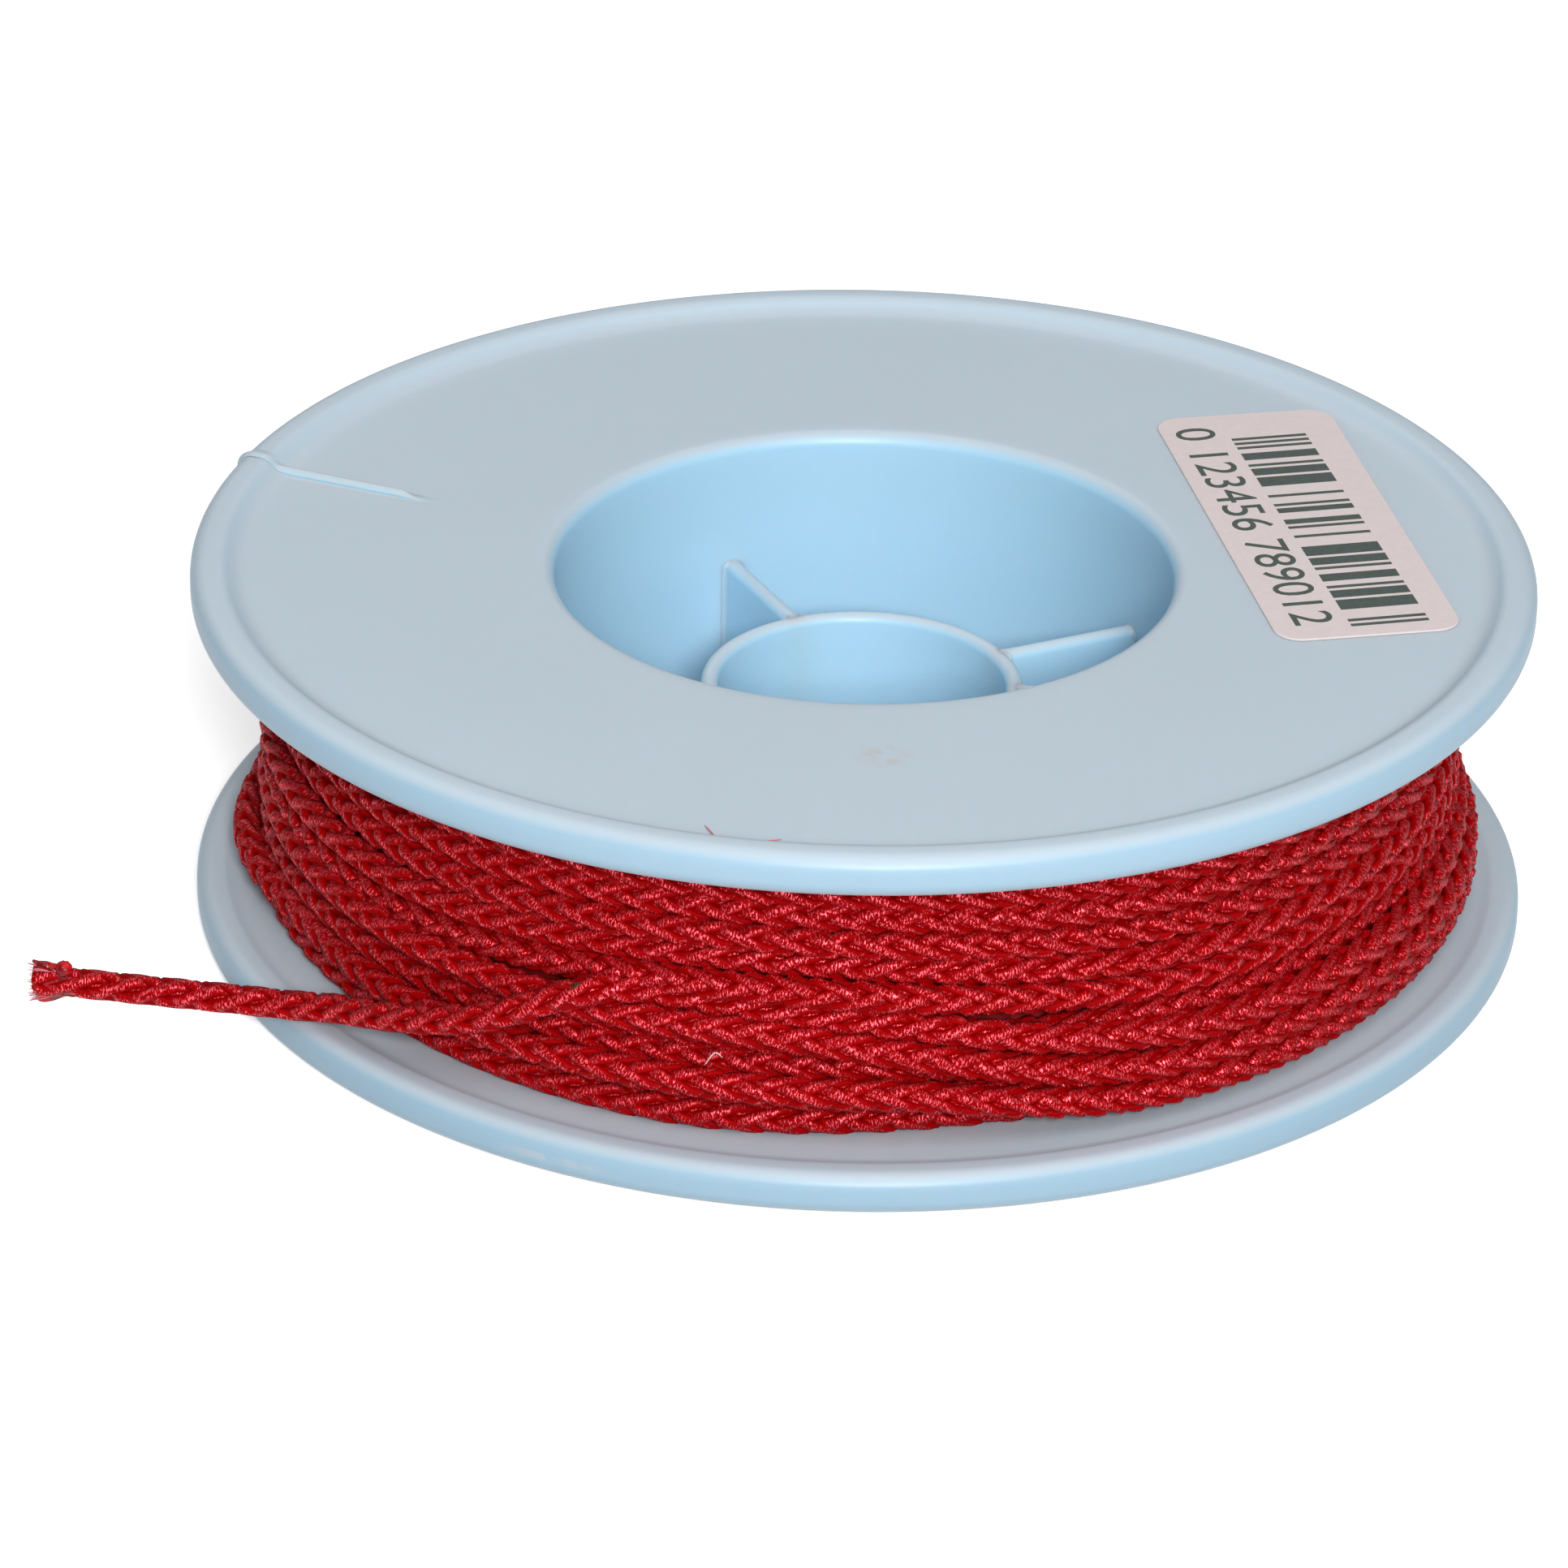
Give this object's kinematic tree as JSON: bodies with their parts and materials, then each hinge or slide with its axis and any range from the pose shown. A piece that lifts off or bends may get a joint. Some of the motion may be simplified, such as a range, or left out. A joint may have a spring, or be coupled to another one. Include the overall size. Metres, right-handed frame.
{
  "type": "string reel",
  "caption": "Moulded plastic spool with two beaded flanges, a ribbed hub in an open well and a slit to catch the end, wound full of braided cord with one free end.",
  "frame": {"origin": "on the reel's axis, at the level of the lower rim's bottom, which is what the reel lies on", "axes": "+Z along the reel's axis, towards the flange with the label; +X towards the labelled side; the cord's free end leaves between -X and -Y"},
  "size_m": [0.0824, 0.075, 0.0212],
  "materials": {
    "spool_plastic": "light blue injection-moulded polypropylene, satin to glossy",
    "label_paper": "thin matt paper label, pinkish white with dark grey-green print",
    "cord_fibre": "red braided filament yarn with a silky sheen"
  },
  "bodies": {
    "root": {"spool": "spool_plastic", "barcode_label": "label_paper", "cord_core": "cord_fibre", "cord_winding": "cord_fibre", "cord_tail": "cord_fibre"}
  },
  "joints": []
}
